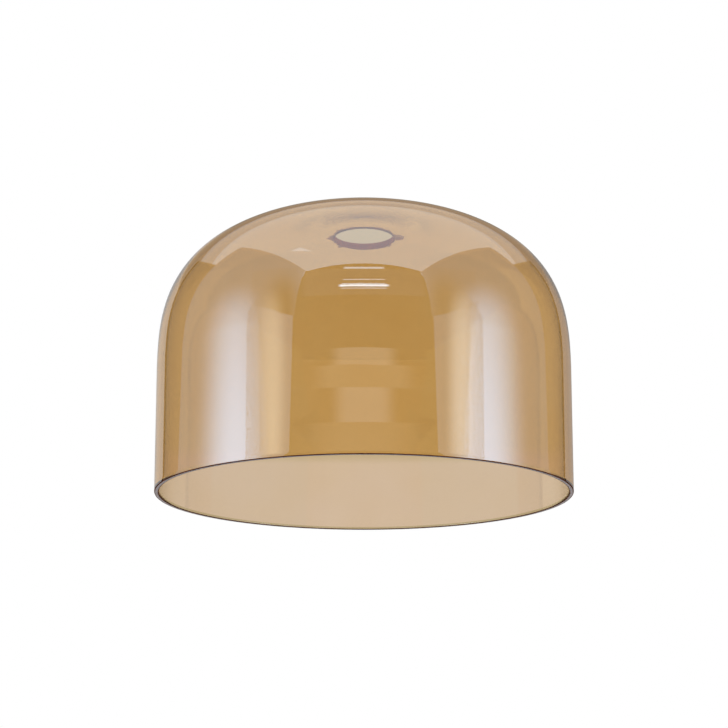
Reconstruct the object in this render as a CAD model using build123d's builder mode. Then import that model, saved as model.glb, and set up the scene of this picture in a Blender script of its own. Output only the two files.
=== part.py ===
# Blown-glass pendant lampshade: one thin-walled bell, open below, with a round fitter
# hole drilled through its crown. Millimetres, +Z up.
# Origin: on the shade's own axis, in the plane of the rim.
import os
from math import acos, cos, sin

from build123d import *

# ---- driving dimensions -------------------------------------------------------------
HEIGHT = 190.0  # rim plane to the flat land on the crown
WIDEST_R = 140.0  # outer radius where the wall meets the dome
RIM_R = 138.5  # outer radius at the rim: the wall draws in slightly towards it
SHOULDER_Z = 84.5  # height where the near-straight wall ends and the dome begins

WALL_T = 3.0  # glass thickness at the rim and all the way up to the crown
CROWN_T = 4.8  # glass thickness round the fitter hole, where the gather was heaviest

FITTER_R = 21.0  # hole that a 40 mm lampholder skirt passes through
SEAT_R = 27.0  # edge of the flat land round the hole, where the shade ring clamps
BLEND_R = 40.0  # the outside land has run out into the dome's own curve here
THICK_R = 62.0  # inside, the thick crown has thinned down to the wall's thickness here
SEAT_SINK = 0.8  # how far the land lies below the top that the dome's curve would reach

# The dome is a superellipse: (r / run) ** DOME_P + (z / rise) ** DOME_Q = 1, with z
# measured from the shoulder.
DOME_P = 2.6
DOME_Q = 2.87
DOME_STEPS = 20  # intervals along each face of the dome

RIM_POLISH = 0.5  # bevel left by polishing on both edges of the cut rim
HOLE_POLISH = 0.4  # bevel left by grinding on both edges of the drilled hole


def dome_points(wall_r, top_z, blend_r, land_z):
    """Points (r, z) along one face of the dome, from the wall to the edge of the land.

    The superellipse would reach top_z on the axis. It is left at blend_r, for the land.
    """
    rise = top_z - SHOULDER_Z
    last_angle = acos((blend_r / wall_r) ** (DOME_P / 2))
    points = []
    for step in range(DOME_STEPS + 1):
        angle = last_angle * step / DOME_STEPS
        r = wall_r * cos(angle) ** (2 / DOME_P)
        z = SHOULDER_Z + rise * sin(angle) ** (2 / DOME_Q)
        points.append((r, z))
    points.append((SEAT_R, land_z))
    return points


# ---- glass shade --------------------------------------------------------------------
inner_widest_r = WIDEST_R - WALL_T
inner_rim_r = RIM_R - WALL_T
under_crown_z = HEIGHT - CROWN_T
outer_top_z = HEIGHT + SEAT_SINK
outer_dome = dome_points(WIDEST_R, outer_top_z, BLEND_R, HEIGHT)
inner_dome = dome_points(inner_widest_r, outer_top_z - WALL_T, THICK_R, under_crown_z)
wall_lean = (WIDEST_R - RIM_R, SHOULDER_Z)  # direction of the wall, from the rim up
towards_axis = (-1.0, 0.0)

with BuildPart() as glass_shade:
    with BuildSketch(Plane.XZ) as section:
        with BuildLine():
            Line((RIM_R, 0), (WIDEST_R, SHOULDER_Z))
            Spline(*outer_dome, tangents=(wall_lean, towards_axis))
            Line((SEAT_R, HEIGHT), (FITTER_R, HEIGHT))
            Line((FITTER_R, HEIGHT), (FITTER_R, under_crown_z))
            Line((FITTER_R, under_crown_z), (SEAT_R, under_crown_z))
            Spline(*inner_dome, tangents=(wall_lean, towards_axis))
            Line((inner_widest_r, SHOULDER_Z), (inner_rim_r, 0))
            Line((inner_rim_r, 0), (RIM_R, 0))
        make_face()
        rim_corners = section.vertices().group_by(Axis.Y)[0]
        hole_corners = section.vertices().group_by(Axis.X)[0]
        chamfer(rim_corners, length=RIM_POLISH)
        chamfer(hole_corners, length=HOLE_POLISH)
    revolve(axis=Axis.Z)

glass_shade.part.label = "glass_shade"

os.makedirs("parts", exist_ok=True)
export_step(glass_shade.part, "parts/glass_shade.step")
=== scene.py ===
"""A pendant lampshade of clear blown glass with an amber lustre, in a white light tent.

The shade is one piece: a wide bell, open below, with a round fitter hole drilled through its crown. It
hangs free in the tent, and the camera looks up at it from below its rim.
"""

import logging
from dataclasses import dataclass
from enum import Enum
from math import acos, cos, hypot, pi, radians, sin
from typing import Any

import bpy
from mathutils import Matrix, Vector


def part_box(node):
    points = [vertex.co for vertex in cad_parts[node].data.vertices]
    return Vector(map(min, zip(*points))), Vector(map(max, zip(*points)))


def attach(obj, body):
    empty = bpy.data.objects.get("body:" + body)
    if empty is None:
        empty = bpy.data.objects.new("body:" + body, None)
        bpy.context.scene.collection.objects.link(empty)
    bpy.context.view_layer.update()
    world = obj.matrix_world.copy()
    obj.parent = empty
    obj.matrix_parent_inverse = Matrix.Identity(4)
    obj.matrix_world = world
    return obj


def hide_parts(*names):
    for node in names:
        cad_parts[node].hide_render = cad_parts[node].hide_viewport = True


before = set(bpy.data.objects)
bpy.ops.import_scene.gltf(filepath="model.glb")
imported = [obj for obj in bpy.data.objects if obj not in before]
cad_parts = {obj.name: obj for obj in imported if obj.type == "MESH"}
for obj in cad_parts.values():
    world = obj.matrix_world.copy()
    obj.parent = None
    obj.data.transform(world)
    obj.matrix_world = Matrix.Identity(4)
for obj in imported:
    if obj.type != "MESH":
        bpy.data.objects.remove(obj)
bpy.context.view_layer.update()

MM = 0.001  # the frame is in metres
NEAR = 0.05 * MM  # two places on the glass that lie closer than this count as level
NODE = "glass_shade"

logging.basicConfig(level=logging.INFO, format="%(message)s")
log = logging.getLogger("lampshade")

Point = tuple[float, float]  # (r, z) on the shade's section, in metres
Corner = tuple[float, float, float]  # a place in the studio, in metres
Link = tuple[Any, str | int]  # a node and the name or index of one of its outputs


# ---- small helpers ------------------------------------------------------------------


def linear(hex_colour: str) -> tuple[float, float, float, float]:
    """Turn an sRGB hex colour into the linear values that shaders use.

    Args:
        hex_colour: Six hex digits, such as "C8963C".

    Returns:
        Linear red, green, blue and an alpha of 1.
    """
    channels = []
    for start in (0, 2, 4):
        value = int(hex_colour[start : start + 2], 16) / 255
        channels.append(value / 12.92 if value <= 0.04045 else ((value + 0.055) / 1.055) ** 2.4)
    return (channels[0], channels[1], channels[2], 1.0)


def add_node(
    tree: Any,
    kind: str,
    settings: dict[str | int, Any] | None = None,
    links: dict[str | int, Link] | None = None,
) -> Any:
    """Add one shader node, set its values and link its inputs.

    Args:
        tree: The node tree to add to.
        kind: The node's type, without the "ShaderNode" in front.
        settings: Input names or indices with their values, and attributes written as ".name".
        links: Input names or indices with the (node, output) that feeds each.

    Returns:
        The new node.
    """
    node = tree.nodes.new("ShaderNode" + kind)
    for name, value in (settings or {}).items():
        if isinstance(name, str) and name.startswith("."):
            setattr(node, name[1:], value)
        else:
            node.inputs[name].default_value = value
    for name, (source, output) in (links or {}).items():
        tree.links.new(source.outputs[output], node.inputs[name])
    return node


def deselect_all() -> None:
    """Leave nothing selected, so that an operator acts only on what is chosen next."""
    bpy.ops.object.select_all(action="DESELECT")


def new_material(name: str) -> tuple[Any, Any]:
    """Make an empty node material.

    Args:
        name: The material's name.

    Returns:
        The material and its node tree.
    """
    material = bpy.data.materials.new(name)
    material.use_nodes = True
    material.node_tree.nodes.clear()
    return material, material.node_tree


# ---- finishes -----------------------------------------------------------------------


@dataclass(frozen=True)
class GroundRing:
    """Where grinding and small shell chips have broken the glass's surface round the drilled hole.

    The share is 1 on ground glass and 0 on whole glass. It roughens the glass there, and it also paints it a dark
    brown shade. Its edge is ragged by a few millimetres. Each chip is the x and y of its middle and its radius.
    """

    reach_mm: float = 22.4
    rag_mm: float = 1.6
    grain_mm: float = 6.0
    soft_mm: float = 0.15
    chips_mm: tuple[tuple[float, float, float], ...] = (
        (24.6, -1.0, 3.8),
        (-22.6, -2.0, 3.0),
        (-16.5, 15.5, 2.8),
    )

    def share(self, tree: Any, place: Any) -> Any:
        """Add the nodes that work the share out.

        Args:
            tree: The material's node tree.
            place: Its Texture Coordinate node.

        Returns:
            The node whose Result is the share.
        """
        grain = add_node(
            tree,
            "TexNoise",
            {"Scale": 1 / (self.grain_mm * MM), "Detail": 3.0},
            {"Vector": (place, "Object")},
        )
        rag = add_node(
            tree,
            "MapRange",
            {"From Min": 0.3, "From Max": 0.7, "To Min": -self.rag_mm * MM, "To Max": self.rag_mm * MM},
            {"Value": (grain, "Fac")},
        )
        flat = add_node(tree, "VectorMath", {".operation": "MULTIPLY", 1: (1, 1, 0)}, {0: (place, "Object")})
        depth = None
        for x, y, r in ((0.0, 0.0, self.reach_mm), *self.chips_mm):
            centre = (x * MM, y * MM, 0.0)
            away = add_node(tree, "VectorMath", {".operation": "DISTANCE", 1: centre}, {0: (flat, "Vector")})
            inside = add_node(tree, "Math", {".operation": "SUBTRACT", 0: r * MM}, {1: (away, "Value")})
            if depth is None:
                depth = inside
            else:
                depth = add_node(tree, "Math", {".operation": "MAXIMUM"}, {0: (depth, 0), 1: (inside, 0)})
        ragged = add_node(tree, "Math", {".operation": "ADD"}, {0: (depth, 0), 1: (rag, "Result")})
        return add_node(
            tree,
            "MapRange",
            {"From Min": -self.soft_mm * MM, "From Max": self.soft_mm * MM},
            {"Value": (ragged, "Value")},
        )


@dataclass(frozen=True)
class BlownGlass:
    """Fire-polished soda-lime glass: the shade's two faces.

    The outside carries a thin amber metal-oxide lustre. It is a small part of a light wave thick and far
    denser than glass, so that face mirrors four to five times as much as bare glass. It lets amber through, a
    little deeper in some places than in others. The inside is bare and clear. Blowing leaves a faint slow
    ripple in both, and grinding the hole has dulled the glass next to it. There the colour is a painted brown
    shade.
    """

    name: str
    thin: str
    thick: str
    film_nm: float = 0.0
    film_ior: float = 2.3
    ior: float = 1.52
    cloud_mm: float = 60.0
    ripple_mm: float = 34.0
    ripple_deep_mm: float = 0.02
    # painted shade: the dark brown that the ground ring round the hole is given
    ground_ring_painted_shade: str = "A0602F"
    dulled_roughness: float = 0.4
    ring: GroundRing = GroundRing()

    def material(self) -> Any:
        """Build the material.

        Returns:
            The finished material.
        """
        material, tree = new_material(self.name)
        place = add_node(tree, "TexCoord")
        cloud = add_node(
            tree,
            "TexNoise",
            {"Scale": 1 / (self.cloud_mm * MM), "Detail": 2.0, "Roughness": 0.5},
            {"Vector": (place, "Object")},
        )
        tint = add_node(
            tree,
            "Mix",
            {".data_type": "RGBA", "A": linear(self.thin), "B": linear(self.thick)},
            {"Factor": (cloud, "Fac")},
        )
        ground = self.ring.share(tree, place)
        # painted shade: the ground ring's colour turns dark brown; its roughness is the real grinding
        colour = add_node(
            tree,
            "Mix",
            {".data_type": "RGBA", "B": linear(self.ground_ring_painted_shade)},
            {"Factor": (ground, "Result"), "A": (tint, 2)},
        )
        roughness = add_node(
            tree,
            "MapRange",
            {"To Min": 0.0, "To Max": self.dulled_roughness},
            {"Value": (ground, "Result")},
        )
        ripple = add_node(
            tree,
            "TexNoise",
            {"Scale": 1 / (self.ripple_mm * MM), "Detail": 0.0},
            {"Vector": (place, "Object")},
        )
        bump = add_node(
            tree,
            "Bump",
            {"Strength": 1.0, "Distance": self.ripple_deep_mm * MM},
            {"Height": (ripple, "Fac")},
        )
        glass = add_node(
            tree,
            "BsdfPrincipled",
            {
                "IOR": self.ior,
                "Transmission Weight": 1.0,
                "Thin Film Thickness": self.film_nm,
                "Thin Film IOR": self.film_ior,
            },
            {"Base Color": (colour, 2), "Roughness": (roughness, "Result"), "Normal": (bump, "Normal")},
        )
        add_node(tree, "OutputMaterial", links={"Surface": (glass, "BSDF")})
        return material


@dataclass(frozen=True)
class CutGlass:
    """Glass that was cut or ground: light scatters on the cut. Where it is dark brown, that is painted shade for
    the dark look of the thick glass.

    Grinding leaves a matt face with almost no gloss. Polishing brings the gloss and some clearness back. The
    face can be a flat ring, which is painted darker towards both of its edges: a painted reflection of the amber
    wall seen end on.
    """

    name: str
    pale: str
    deep: str
    roughness: float
    clear_share: float
    grain_mm: float = 3.0
    ior: float = 1.52
    gloss: float = 0.5
    ring_r_mm: float = 0.0
    # painted reflection: over this span from the ring's middle, its colour turns to the dark brown below
    painted_reflection_from_mm: tuple[float, float] = (0.45, 0.85)
    painted_reflection: str = "6A4030"

    # The grain of ground glass is far too fine to show, so its unevenness is drawn at grain_mm instead.

    def material(self) -> Any:
        """Build the material.

        Returns:
            The finished material.
        """
        material, tree = new_material(self.name)
        place = add_node(tree, "TexCoord")
        grain = add_node(
            tree,
            "TexNoise",
            {"Scale": 1 / (self.grain_mm * MM), "Detail": 3.0, "Roughness": 0.6},
            {"Vector": (place, "Object")},
        )
        tint = add_node(
            tree,
            "Mix",
            {".data_type": "RGBA", "A": linear(self.pale), "B": linear(self.deep)},
            {"Factor": (grain, "Fac")},
        )
        # painted reflection: a flat ring's edges are painted darker
        if self.ring_r_mm:
            tint = self.with_painted_reflection(tree, place, tint)
        glass = add_node(
            tree,
            "BsdfPrincipled",
            {
                "Roughness": self.roughness,
                "IOR": self.ior,
                "Specular IOR Level": self.gloss,
                "Transmission Weight": self.clear_share,
            },
            {"Base Color": (tint, 2)},
        )
        add_node(tree, "OutputMaterial", links={"Surface": (glass, "BSDF")})
        return material

    def with_painted_reflection(self, tree: Any, place: Any, tint: Any) -> Any:
        """Paint both edges of a flat ring darker: a painted reflection of the amber wall, which its mirror shows
        end on.

        Args:
            tree: The material's node tree.
            place: The coordinates' node.
            tint: The node that gives the ring's own colour.

        Returns:
            The node that gives the ring's colour with its painted reflection at both edges.
        """
        flat = add_node(tree, "VectorMath", {".operation": "MULTIPLY", 1: (1, 1, 0)}, {0: (place, "Object")})
        from_axis = add_node(tree, "VectorMath", {".operation": "LENGTH"}, {0: (flat, 0)})
        from_middle = add_node(
            tree,
            "Math",
            {".operation": "SUBTRACT", 1: self.ring_r_mm * MM},
            {0: (from_axis, "Value")},
        )
        either_side = add_node(tree, "Math", {".operation": "ABSOLUTE"}, {0: (from_middle, 0)})
        start, end = self.painted_reflection_from_mm
        edge = add_node(
            tree,
            "MapRange",
            {"From Min": start * MM, "From Max": end * MM},
            {"Value": (either_side, 0)},
        )
        return add_node(
            tree,
            "Mix",
            {".data_type": "RGBA", "B": linear(self.painted_reflection)},
            {"Factor": (edge, 0), "A": (tint, 2)},
        )


# The outside: a cool mirror over an amber glass.
LUSTRE = BlownGlass("soda_lime_glass_amber_lustre", thin="FFD186", thick="FCC56C", film_nm=30.0)
# The inside: bare and almost colourless.
CLEAR = BlownGlass("soda_lime_glass_clear", thin="FFFFFF", thick="FBFAF6")
# The drilled hole: matt, and a warm brown that is painted shade for the dark look of the thick glass round it.
GROUND_HOLE_PAINTED_SHADE = CutGlass(
    "soda_lime_glass_ground_painted_shade", pale="C8742C", deep="8C4A1C", roughness=0.8, clear_share=0.0, gloss=0.1
)
# The cut rim: a pale, glossy band, with darker margins that are a painted reflection of the amber wall end on.
POLISHED_RIM = CutGlass(
    "soda_lime_glass_cut_rim", pale="DCD8E2", deep="BEB8C4", roughness=0.12, clear_share=0.3, ring_r_mm=137.0
)
# The rim's ground edges: two thin dark lines, painted shade for the dark look of the bevels end on.
RIM_ARRIS_PAINTED_SHADE = CutGlass(
    "soda_lime_glass_rim_arris_painted_shade", pale="6E4230", deep="4A2A1E", roughness=0.8, clear_share=0.0, gloss=0.0
)


# ---- the shade ----------------------------------------------------------------------


@dataclass
class ShadeSection:
    """The shade's section on one side of its axis. Lengths are in millimetres until they are points.

    The outside is a near-straight wall, a superellipse dome and a flat land round the fitter hole. The
    inside is the same curve, one wall thickness in, and the glass is thicker round the hole. Each curve is
    traced in `fine` steps first, and then points are spread evenly along it, about `spacing` apart.
    """

    height: float
    widest_r: float
    rim_r: float = 138.5
    shoulder_z: float = 84.5
    wall_t: float = 3.0
    crown_t: float = 4.8
    fitter_r: float = 21.0
    seat_r: float = 27.0
    blend_r: float = 40.0
    thick_r: float = 62.0
    seat_sink: float = 0.8
    dome_p: float = 2.6
    dome_q: float = 2.87
    spacing: float = 2.5
    fine: int = 4000

    def face(self, inset: float, blend_r: float, land_z: float) -> list[Point]:
        """Trace one face of the glass from the rim plane up to the edge of the hole.

        Args:
            inset: How far in from the outside the face lies.
            blend_r: Where the dome's curve is left for the land.
            land_z: The height of the flat land on this face.

        Returns:
            Points about `spacing` apart.
        """
        wall_r = self.widest_r - inset
        rise = self.height + self.seat_sink - inset - self.shoulder_z
        last = acos((blend_r / wall_r) ** (self.dome_p / 2))
        track = [(self.rim_r - inset, 0.0)]
        for step in range(self.fine + 1):
            angle = last * step / self.fine
            r = wall_r * cos(angle) ** (2 / self.dome_p)
            z = self.shoulder_z + rise * sin(angle) ** (2 / self.dome_q)
            track.append((r, z))
        (r0, z0), (r1, z1) = track[-2:]
        run = self.seat_r - blend_r
        climb = (z1 - z0) / (r1 - r0) * run
        for step in range(1, self.fine + 1):
            t = step / self.fine
            z = z1 * (1 - t) ** 2 * (1 + 2 * t) + climb * t * (1 - t) ** 2 + land_z * t**2 * (3 - 2 * t)
            track.append((blend_r + run * t, z))
        track.append((self.fitter_r, land_z))
        return self.spread(track)

    def spread(self, track: list[Point]) -> list[Point]:
        """Place points evenly along a finely traced track, ends included.

        Args:
            track: The finely traced points.

        Returns:
            The first and last of them, with even steps between.
        """
        lengths = [0.0]
        for (r0, z0), (r1, z1) in zip(track, track[1:]):
            lengths.append(lengths[-1] + hypot(r1 - r0, z1 - z0))
        count = round(lengths[-1] / self.spacing)
        points = [track[0]]
        at = 0
        for step in range(1, count):
            goal = lengths[-1] * step / count
            while lengths[at + 1] < goal:
                at += 1
            share = (goal - lengths[at]) / (lengths[at + 1] - lengths[at])
            (r0, z0), (r1, z1) = track[at], track[at + 1]
            points.append((r0 + (r1 - r0) * share, z0 + (z1 - z0) * share))
        points.append(track[-1])
        return points

    def outline(self) -> list[Point]:
        """Trace the closed section: up the outside, down the hole, and back down the inside.

        Returns:
            The section's points, in metres.
        """
        outside = self.face(0.0, self.blend_r, self.height)
        inside = self.face(self.wall_t, self.thick_r, self.height - self.crown_t)
        return [(r * MM, z * MM) for r, z in outside + inside[::-1]]


# How far a normal has to turn before its face counts as one part of the glass or another.
FLAT_DOWN = -0.98
PARTLY_DOWN = -0.15
FACING_OUT = 0.02
FACING_UP = 0.5


class Face(Enum):
    """Which part of the glass a face belongs to, and its material slot."""

    OUTSIDE = 0
    INSIDE = 1
    HOLE = 2
    RIM = 3
    ARRIS = 4


FINISHES = {
    Face.OUTSIDE: LUSTRE,
    Face.INSIDE: CLEAR,
    Face.HOLE: GROUND_HOLE_PAINTED_SHADE,
    Face.RIM: POLISHED_RIM,
    Face.ARRIS: RIM_ARRIS_PAINTED_SHADE,
}


@dataclass
class GlassShade:
    """The one-piece glass shade."""

    section: ShadeSection
    turns: int = 256
    rim_bevel_mm: float = 0.5
    hole_bevel_mm: float = 0.4
    bevel_steps: int = 3
    weld_mm: float = 0.01
    smooth_below: float = 35.0

    def build(self) -> Any:
        """Model the shade and dress it.

        Returns:
            The finished object.
        """
        shade = self.draw_section()
        self.spin_section(shade)
        self.bevel_edges(shade)
        self.dress(shade)
        return shade

    def draw_section(self) -> Any:
        """Extrude one vertex round the section's outline.

        Returns:
            The object, which is an open chain of edges.
        """
        outline = self.section.outline()
        first = Vector((outline[0][0], 0.0, outline[0][1]))
        deselect_all()
        bpy.ops.mesh.primitive_plane_add(size=MM, location=first)
        shade = bpy.context.object
        shade.name = "blown_glass_shade"
        shade.data.name = "blown_glass_shade"
        bpy.ops.object.transform_apply(location=True, rotation=False, scale=False)
        bpy.ops.object.mode_set(mode="EDIT")
        bpy.ops.mesh.select_all(action="SELECT")
        bpy.ops.mesh.merge(type="CENTER")
        at = first
        for r, z in outline[1:]:
            step = Vector((r, 0.0, z)) - at
            bpy.ops.mesh.extrude_vertices_move(TRANSFORM_OT_translate={"value": step})
            at = Vector((r, 0.0, z))
        bpy.ops.object.mode_set(mode="OBJECT")
        return shade

    def spin_section(self, shade: Any) -> None:
        """Close the outline and spin it into the shade's solid wall.

        Args:
            shade: The object that holds the section's outline.
        """
        last = len(shade.data.vertices) - 1
        for vertex in shade.data.vertices:
            vertex.select = vertex.index in (0, last)
        bpy.ops.object.mode_set(mode="EDIT")
        bpy.ops.mesh.select_mode(type="VERT")
        bpy.ops.mesh.edge_face_add()
        bpy.ops.mesh.select_all(action="SELECT")
        bpy.ops.mesh.spin(steps=self.turns, angle=2 * pi, center=(0, 0, 0), axis=(0, 0, 1))
        bpy.ops.mesh.select_all(action="SELECT")
        bpy.ops.mesh.remove_doubles(threshold=self.weld_mm * MM)
        bpy.ops.mesh.normals_make_consistent(inside=False)
        bpy.ops.mesh.select_all(action="DESELECT")
        bpy.ops.object.mode_set(mode="OBJECT")

    def bevel_edges(self, shade: Any) -> None:
        """Polish both edges of the rim and both edges of the hole into small round bevels.

        Args:
            shade: The object that holds the spun wall.
        """
        hole_r = self.section.fitter_r * MM
        for low, width in ((True, self.rim_bevel_mm), (False, self.hole_bevel_mm)):
            bpy.ops.object.mode_set(mode="EDIT")
            bpy.ops.mesh.select_all(action="DESELECT")
            bpy.ops.object.mode_set(mode="OBJECT")
            places = [v.co for v in shade.data.vertices]
            for edge in shade.data.edges:
                a, b = (places[i] for i in edge.vertices)
                round_axis = abs(a.z - b.z) < NEAR and self.same_ring(a, b)
                if low:
                    edge.select = round_axis and max(a.z, b.z) < NEAR
                else:
                    edge.select = round_axis and abs(hypot(a.x, a.y) - hole_r) < NEAR
            bpy.ops.object.mode_set(mode="EDIT")
            bpy.ops.mesh.select_mode(type="EDGE")
            bpy.ops.mesh.bevel(offset=width * MM, segments=self.bevel_steps, profile=0.5, affect="EDGES")
            bpy.ops.mesh.select_all(action="DESELECT")
            bpy.ops.object.mode_set(mode="OBJECT")

    @staticmethod
    def same_ring(a: Vector, b: Vector) -> bool:
        """Whether an edge runs round the axis and not across the glass."""
        return abs(hypot(a.x, a.y) - hypot(b.x, b.y)) < NEAR

    def dress(self, shade: Any) -> None:
        """Give each face of the glass its finish, and smooth the surface except at the rim and hole.

        Args:
            shade: The finished shape.
        """
        for finish in FINISHES.values():
            shade.data.materials.append(finish.material())
        for polygon in shade.data.polygons:
            polygon.material_index = self.part_of(polygon.center, polygon.normal).value
        deselect_all()
        shade.select_set(True)
        bpy.context.view_layer.objects.active = shade
        bpy.ops.object.shade_smooth_by_angle(angle=radians(self.smooth_below))

    def part_of(self, place: Vector, normal: Vector) -> Face:
        """Tell from a face's place and normal which part of the glass it belongs to.

        Args:
            place: The middle of the face.
            normal: The direction that it faces.

        Returns:
            The part of the glass.
        """
        radius = hypot(place.x, place.y)
        outward = (normal.x * place.x + normal.y * place.y) / radius
        if radius < (self.section.fitter_r + self.hole_bevel_mm) * MM:
            return Face.HOLE
        at_rim = place.z < self.rim_bevel_mm * MM
        if at_rim and normal.z < FLAT_DOWN:
            return Face.RIM
        if at_rim and normal.z < PARTLY_DOWN:
            return Face.ARRIS
        if outward > FACING_OUT or normal.z > FACING_UP:
            return Face.OUTSIDE
        return Face.INSIDE


# ---- the studio ---------------------------------------------------------------------

ARC_STEPS = 24  # flat strips in a curved sheet
FACES_OF_ONE_WALL = 2.0  # light crosses two faces of glass on its way through one wall


@dataclass
class Panel:
    """One flat sheet of the light tent, seen only in the glass's reflections.

    A sheet that glows is the tent's white fabric, and one that doesn't is a black gap between two sheets.
    The camera, and the light that passes straight through the glass, go through it.

    Attributes:
        name: The sheet's name.
        corners: Its four corners in order, or nothing for a sheet that build_arc makes.
        glow: How brightly the fabric glows.
        lamp: The middle of the lamp behind it, if there is one.
        lamp_glow: The glow in front of the lamp.
        lamp_core: Within this distance of the lamp the glow is even.
        lamp_r: Past this distance the fabric only has its own glow.
        colour: The colour of the glow.
        first_only: Show it only in the near face's own mirror, and not from inside the shade.
        pool: Add its glow to what lies behind, and hide nothing.
    """

    name: str
    corners: tuple[Corner, ...]
    glow: float = 0.0
    lamp: Corner | None = None
    lamp_glow: float = 0.0
    lamp_core: float = 0.0
    lamp_r: float = 0.5
    colour: str = "FFFFFF"
    first_only: bool = False
    pool: bool = False

    def build(self) -> Any:
        """Make the sheet and its material.

        Returns:
            The finished sheet.
        """
        deselect_all()
        bpy.ops.mesh.primitive_plane_add(size=1.0)
        sheet = bpy.context.object
        sheet.name = self.name
        around = (0, 1, 3, 2)  # a new plane's corners, in the order that goes round it
        for index, corner in zip(around, self.corners):
            sheet.data.vertices[index].co = corner
        sheet.data.materials.append(self.material())
        return sheet

    def build_arc(self, radius: float, half_angle: float, bottom: float, top: float) -> Any:
        """Make the sheet curved round the shade's axis, facing it from the front.

        Args:
            radius: The distance from the axis.
            half_angle: Degrees that the sheet reaches to each side.
            bottom: The height of its lower edge.
            top: The height of its upper edge.

        Returns:
            The finished sheet.
        """
        deselect_all()
        bpy.ops.mesh.primitive_plane_add(size=1.0)
        sheet = bpy.context.object
        sheet.name = self.name
        turn = radians(half_angle)
        bpy.ops.object.mode_set(mode="EDIT")
        bpy.ops.mesh.select_all(action="SELECT")
        bpy.ops.mesh.merge(type="CENTER")
        bpy.ops.transform.translate(value=(radius * sin(turn), -radius * cos(turn), bottom))
        bpy.ops.mesh.extrude_vertices_move(TRANSFORM_OT_translate={"value": (0, 0, top - bottom)})
        bpy.ops.mesh.select_all(action="SELECT")
        bpy.ops.mesh.spin(steps=ARC_STEPS, angle=2 * turn, center=(0, 0, 0), axis=(0, 0, 1))
        bpy.ops.object.mode_set(mode="OBJECT")
        sheet.data.materials.append(self.material())
        return sheet

    def material(self) -> Any:
        """Build the fabric's glow, brightest in front of the lamp, for mirrored rays only.

        Returns:
            The finished material.
        """
        material, tree = new_material(self.name)
        path = add_node(tree, "LightPath")
        see_through = add_node(tree, "BsdfTransparent")
        if self.lamp is None:
            light = add_node(tree, "Emission", {"Color": linear(self.colour), "Strength": self.glow})
        else:
            place = add_node(tree, "TexCoord")
            away = add_node(
                tree,
                "VectorMath",
                {".operation": "DISTANCE", 1: self.lamp},
                {0: (place, "Object")},
            )
            fall = add_node(
                tree,
                "MapRange",
                {
                    ".interpolation_type": "SMOOTHERSTEP",
                    "From Min": self.lamp_core,
                    "From Max": self.lamp_r,
                    "To Min": self.lamp_glow,
                    "To Max": self.glow,
                },
                {"Value": (away, "Value")},
            )
            light = add_node(
                tree, "Emission", {"Color": linear(self.colour)}, {"Strength": (fall, "Result")}
            )
        if self.pool:
            light = add_node(tree, "AddShader", links={0: (see_through, 0), 1: (light, 0)})
        blind = (path, "Transmission Depth") if self.first_only else (path, "Diffuse Depth")
        mirrored = add_node(
            tree,
            "Math",
            {".operation": "GREATER_THAN"},
            {0: (path, "Glossy Depth"), 1: blind},
        )
        shown = add_node(tree, "MixShader", links={0: (mirrored, 0), 1: (see_through, 0), 2: (light, 0)})
        add_node(tree, "OutputMaterial", links={"Surface": (shown, 0)})
        material.cycles.emission_sampling = "NONE"
        return material


@dataclass(frozen=True)
class Pool:
    """A lamp's soft patch of light on one side wall: its middle, its radius, its glow and colour."""

    side: int
    y: float
    z: float
    r: float
    glow: float
    colour: str


@dataclass(frozen=True)
class Shelf:
    """Something lit in the dark way in, which mirrors as a level bar in the shade.

    Attributes:
        half_angle: Degrees that it reaches to each side, seen from the shade's axis.
        bottom: The height of its lower edge.
        top: The height of its upper edge.
        glow: How brightly it glows.
        core: The share of its reach that glows evenly, before it fades towards its ends.
        colour: The colour of the glow.
    """

    half_angle: float
    bottom: float
    top: float
    glow: float
    core: float
    colour: str = "FFFFFF"


COOL_FABRIC = "DCEEFF"
WARM_FABRIC = "FFEEDC"
BACK_FABRIC = "FAF6F4"

POOLS = (
    Pool(-1, -0.40, 0.09, 0.54, 2.2, "D2EAFF"),
    Pool(1, -0.49, 0.09, 0.58, 2.3, "D2EAFF"),
    Pool(-1, -0.84, 0.32, 0.34, 1.0, "FFD8A8"),
    Pool(-1, -0.86, 0.14, 0.24, 0.8, "FFD8A8"),
    Pool(1, -0.76, 0.32, 0.33, 1.0, "FFE0B8"),
    Pool(1, -0.80, 0.14, 0.30, 0.6, "FFE8D0"),
)

SHELVES = (
    Shelf(19.5, 0.400, 0.428, 0.50, 0.45, "FFE2C4"),
    Shelf(30.0, 0.363, 0.400, 0.27, 0.50, "FFDCB4"),
    Shelf(19.0, 0.306, 0.363, 0.52, 0.35, "FFE6CC"),
    Shelf(40.0, 0.100, 0.306, 0.24, 0.10, "FFE0B4"),
    Shelf(36.0, 0.645, 1.050, 0.08, 0.80),
    Shelf(14.0, 0.736, 0.762, 3.2, 0.80),
    Shelf(12.5, 0.770, 0.778, 2.4, 0.80),
    Shelf(13.0, 0.706, 0.722, 0.9, 0.80),
    Shelf(12.0, 0.829, 0.843, 1.4, 0.80),
    Shelf(12.0, 1.050, 1.095, 1.5, 0.80),
)


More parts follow.
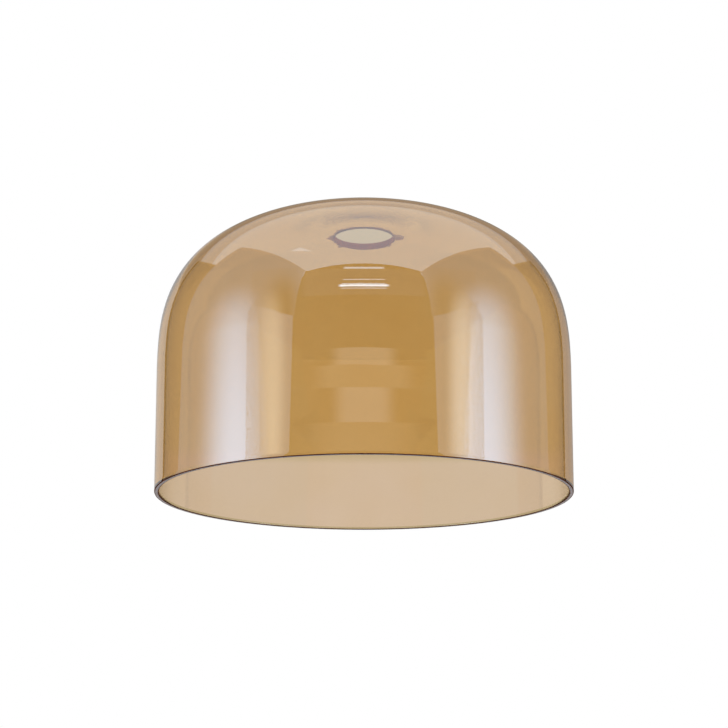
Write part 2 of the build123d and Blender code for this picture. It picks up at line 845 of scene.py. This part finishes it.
@dataclass
class Tent:
    """The light tent round the shade: white fabric, with a dark way in at the front. Metres."""

    low: float = -0.59
    high: float = 1.1
    side_x: float = 0.9
    near: float = -1.6
    far: float = 1.5
    wide: float = 3.0

    def build(self) -> None:
        """Make every sheet of the tent."""
        groups = (self.walls(), self.roof(), self.back(), self.way_in(), self.slots(), self.lights())
        for group in groups:
            for panel in group:
                panel.build()
        self.shelves()

    def beside(self, name: str, side: int, inward: float, outline: tuple[Point, ...], **look: Any) -> Panel:
        """Lay out a sheet along a side wall.

        Args:
            name: The sheet's name.
            side: -1 for the left wall and 1 for the right one.
            inward: How far in from the wall it hangs.
            outline: The (y, z) of its four corners.
            **look: What else the sheet is given.

        Returns:
            The sheet, not yet built.
        """
        x = side * (self.side_x - inward)
        return Panel(name, tuple((x, y, z) for y, z in outline), **look)

    def level(self, name: str, half: float, start: float, end: float, z: float, **look: Any) -> Panel:
        """Lay out a level sheet.

        Args:
            name: The sheet's name.
            half: How far it reaches to each side.
            start: The y of its nearer edge.
            end: The y of its farther edge.
            z: Its height.
            **look: What else the sheet is given.

        Returns:
            The sheet, not yet built.
        """
        return Panel(name, ((-half, start, z), (half, start, z), (half, end, z), (-half, end, z)), **look)

    def upright(self, name: str, left: float, right: float, y: float, **look: Any) -> Panel:
        """Lay out an upright sheet across the tent, from its floor to its roof.

        Args:
            name: The sheet's name.
            left: The x of its left edge.
            right: The x of its right edge.
            y: How far back it stands.
            **look: What else the sheet is given.

        Returns:
            The sheet, not yet built.
        """
        low, high = self.low, self.high
        return Panel(name, ((left, y, low), (right, y, low), (right, y, high), (left, y, high)), **look)

    def walls(self) -> list[Panel]:
        """Lay out the two side walls, and a flag high on each that shades the wall near the way in.

        Returns:
            The sheets, not yet built.
        """
        low, high = self.low, self.high
        wall_left = ((-0.93, low), (0.57, low), (0.07, high), (-1.42, high))
        wall_right = ((-0.90, low), (0.47, low), (0.13, high), (-1.49, high))
        flag_left = ((-1.7, 0.55), (-0.55, 0.42), (-0.45, 0.70), (-1.15, 1.03))
        flag_right = ((-1.7, 0.55), (-0.57, 0.42), (-0.45, 0.70), (-1.15, 1.03))
        return [
            self.beside("tent_wall_left", -1, 0.0, wall_left, glow=0.42, colour=COOL_FABRIC),
            self.beside("tent_wall_right", 1, 0.0, wall_right, glow=0.34, colour=COOL_FABRIC),
            self.flag("flag_left", -1, flag_left, 0.36, 0.05),
            self.flag("flag_right", 1, flag_right, 0.30, 0.07),
        ]

    def flag(self, name: str, side: int, outline: tuple[Point, ...], glow: float, dark: float) -> Panel:
        """Lay out a flag, which is darkest in the middle.

        Args:
            name: The sheet's name.
            side: -1 for the left wall and 1 for the right one.
            outline: The (y, z) of its four corners.
            glow: The glow near its edges.
            dark: The glow in its middle.

        Returns:
            The sheet, not yet built.
        """
        middle = (side * self.side_x, -1.05, 0.47)
        return self.beside(
            name,
            side,
            0.01,
            outline,
            glow=glow,
            lamp=middle,
            lamp_glow=dark,
            lamp_r=0.55,
            colour=COOL_FABRIC,
        )

    def roof(self) -> list[Panel]:
        """Lay out the roof, dimmer towards the back.

        Returns:
            The sheets, not yet built.
        """
        wide, high = self.wide, self.high
        return [
            self.level("tent_roof", wide, self.near, 0.4, high, glow=0.96),
            self.level("tent_roof_back", wide, 0.4, 0.85, high, glow=0.66, colour=BACK_FABRIC),
            self.level("tent_roof_end", wide, 0.85, self.far, high, glow=0.34, colour=WARM_FABRIC),
        ]

    def back(self) -> list[Panel]:
        """Lay out the back wall with the dim seam in its middle, and the tent's floor.

        Returns:
            The sheets, not yet built.
        """
        wide, far = self.wide, self.far
        return [
            self.upright("tent_back_seam", -0.42, 0.42, far - 0.01, glow=0.30, colour=WARM_FABRIC),
            self.level("tent_floor", wide, self.near, far, self.low, glow=0.05),
            self.upright("tent_back_left", -wide, 0, far, glow=0.60, colour=BACK_FABRIC),
            self.upright("tent_back_right", 0, wide, far, glow=0.42, colour="FFF4EC"),
        ]

    def way_in(self) -> list[Panel]:
        """Lay out the dark way in, its dark edges along the roof and walls, and the dim room that lies behind it.

        Returns:
            The sheets, not yet built.
        """
        low, high, past = self.low, self.high, -1.9
        edge_left = ((past, low), (-0.93, low), (-1.42, high), (past, high))
        edge_right = ((past, low), (-0.90, low), (-1.49, high), (past, high))
        return [
            self.upright("way_in", -self.wide, self.wide, self.near, first_only=True),
            self.level("way_in_top", self.side_x, self.near, -1.457, high - 0.004, first_only=True),
            self.beside("way_in_edge_left", -1, 0.015, edge_left, first_only=True),
            self.beside("way_in_edge_right", 1, 0.015, edge_right, first_only=True),
            self.upright("room_behind_way_in", -self.wide, self.wide, -1.7, glow=0.36, colour="FFF2F0"),
        ]

    def slots(self) -> list[Panel]:
        """Lay out the dim strip behind each side wall, with a black edge where it meets the back.

        Returns:
            The sheets, not yet built.
        """
        dim = ((0.0, self.low), (0.79, self.low), (0.79, 0.98), (0.0, 0.75))
        black = ((0.79, self.low), (0.88, self.low), (0.88, 1.0), (0.79, 0.98))
        panels = []
        for side, hand in ((-1, "left"), (1, "right")):
            panels.append(self.beside(f"slot_{hand}", side, -0.01, dim, glow=0.25, colour="FFE6CC"))
            panels.append(self.beside(f"slot_edge_{hand}", side, -0.01, black))
        return panels

    def lights(self) -> list[Panel]:
        """Lay out the bright patch on the roof and the lamps' pools of light on the side walls.

        Returns:
            The sheets, not yet built.
        """
        patch = ((-0.731, -0.682), (-0.533, -0.875), (-0.56, -0.80), (-0.599, -0.669))
        under_roof = self.high - 0.01
        panels = [Panel("roof_patch", tuple((x, y, under_roof) for x, y in patch), glow=1.5)]
        for index, pool in enumerate(POOLS):
            start, end = pool.y - pool.r, pool.y + pool.r
            bottom, top = pool.z - pool.r, pool.z + pool.r
            inward = 0.02
            panels.append(
                self.beside(
                    f"lamp_pool_{index}",
                    pool.side,
                    inward,
                    ((start, bottom), (end, bottom), (end, top), (start, top)),
                    lamp=(pool.side * (self.side_x - inward), pool.y, pool.z),
                    lamp_glow=pool.glow,
                    lamp_r=pool.r,
                    colour=pool.colour,
                    first_only=True,
                    pool=True,
                )
            )
        return panels

    def shelves(self) -> None:
        """Make the lit things that stand just inside the way in."""
        radius = -self.near - 0.02
        for index, shelf in enumerate(SHELVES):
            reach = 2 * radius * sin(radians(shelf.half_angle) / 2)
            sheet = Panel(
                f"shelf_{index}",
                (),
                lamp=(0.0, -radius, (shelf.bottom + shelf.top) / 2),
                lamp_glow=shelf.glow,
                lamp_core=reach * shelf.core,
                lamp_r=reach,
                colour=shelf.colour,
                first_only=True,
                pool=True,
            )
            sheet.build_arc(radius, shelf.half_angle, shelf.bottom, shelf.top)


@dataclass
class Studio:
    """The floor, the light tent round the shade, and the camera.

    To the camera the surround is white. The light that passes through the glass comes from a pale sweep,
    cooler near the horizon, and dimmer through the fitter hole, where there is one wall of glass on the way
    and not two.
    """

    floor_z: float = -0.6
    floor_size: float = 12.0
    sweep_low: str = "D9D7EE"
    sweep_high: str = "D5D5D5"
    sweep_hole: str = "BDBDBE"
    sweep_edge: tuple[float, float] = (11.6, 12.2)
    camera_back: float = 0.9448
    camera_down: float = 0.1716
    camera_pitch: float = 15.598
    lens_mm: float = 70.96

    def build(self) -> None:
        """Set up everything round the shade."""
        self.white_world()
        self.floor()
        Tent().build()
        self.camera()

    def white_world(self) -> None:
        """Make the surround, and choose a view transform that leaves white white."""
        scene = bpy.context.scene
        world = bpy.data.worlds.new("white_surround")
        scene.world = world
        world.use_nodes = True
        world.node_tree.nodes.clear()
        tree = world.node_tree
        path = add_node(tree, "LightPath")
        place = add_node(tree, "TexCoord")
        height = add_node(tree, "SeparateXYZ", links={"Vector": (place, "Generated")})
        low, high = (sin(radians(angle)) for angle in self.sweep_edge)
        above = add_node(tree, "MapRange", {"From Min": low, "From Max": high}, {"Value": (height, "Z")})
        cloth = add_node(
            tree,
            "Mix",
            {".data_type": "RGBA", "A": linear(self.sweep_low), "B": linear(self.sweep_high)},
            {"Factor": (above, 0)},
        )
        one_wall = add_node(
            tree,
            "Math",
            {".operation": "COMPARE", 1: FACES_OF_ONE_WALL, 2: 0.5},
            {0: (path, "Transmission Depth")},
        )
        in_hole = add_node(tree, "Math", {".operation": "MULTIPLY"}, {0: (one_wall, 0), 1: (above, 0)})
        cloth = add_node(
            tree,
            "Mix",
            {".data_type": "RGBA", "B": linear(self.sweep_hole)},
            {"Factor": (in_hole, 0), "A": (cloth, 2)},
        )
        through = add_node(tree, "Background", {"Strength": 1.0}, {"Color": (cloth, 2)})
        seen = add_node(tree, "Background", {"Color": linear("FFFFFF"), "Strength": 1.0})
        shown = add_node(
            tree, "MixShader", links={0: (path, "Is Camera Ray"), 1: (through, 0), 2: (seen, 0)}
        )
        add_node(tree, "OutputWorld", links={"Surface": (shown, 0)})
        scene.view_settings.view_transform = "Standard"
        scene.cycles.max_bounces = 32
        scene.cycles.glossy_bounces = 16
        scene.cycles.transmission_bounces = 32

    def floor(self) -> None:
        """A plain pale floor, well below the camera."""
        deselect_all()
        bpy.ops.mesh.primitive_plane_add(size=self.floor_size, location=(0, 0, self.floor_z))
        floor = bpy.context.object
        floor.name = "pale_floor"
        material, tree = new_material("pale_floor")
        paint = add_node(tree, "BsdfDiffuse", {"Color": linear("F4F3F1")})
        add_node(tree, "OutputMaterial", links={"Surface": (paint, 0)})
        floor.data.materials.append(material)

    def camera(self) -> None:
        """The camera, below the rim and looking up at the shade."""
        data = bpy.data.cameras.new("camera")
        data.lens = self.lens_mm
        data.sensor_width = 36.0
        camera = bpy.data.objects.new("camera", data)
        camera.location = (0.0, -self.camera_back, -self.camera_down)
        camera.rotation_euler = (radians(90 + self.camera_pitch), 0.0, 0.0)
        bpy.context.collection.objects.link(camera)
        bpy.context.scene.camera = camera


# ---- making -------------------------------------------------------------------------


def main() -> None:
    """Build the shade and its studio, in order."""
    Studio().build()
    low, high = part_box(NODE)
    section = ShadeSection(height=(high.z - low.z) / MM, widest_r=140.0)
    shade = GlassShade(section).build()
    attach(shade, "root")
    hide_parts(NODE)
    log.info("%s: %d faces", shade.name, len(shade.data.polygons))


if __name__ == "__main__":
    main()
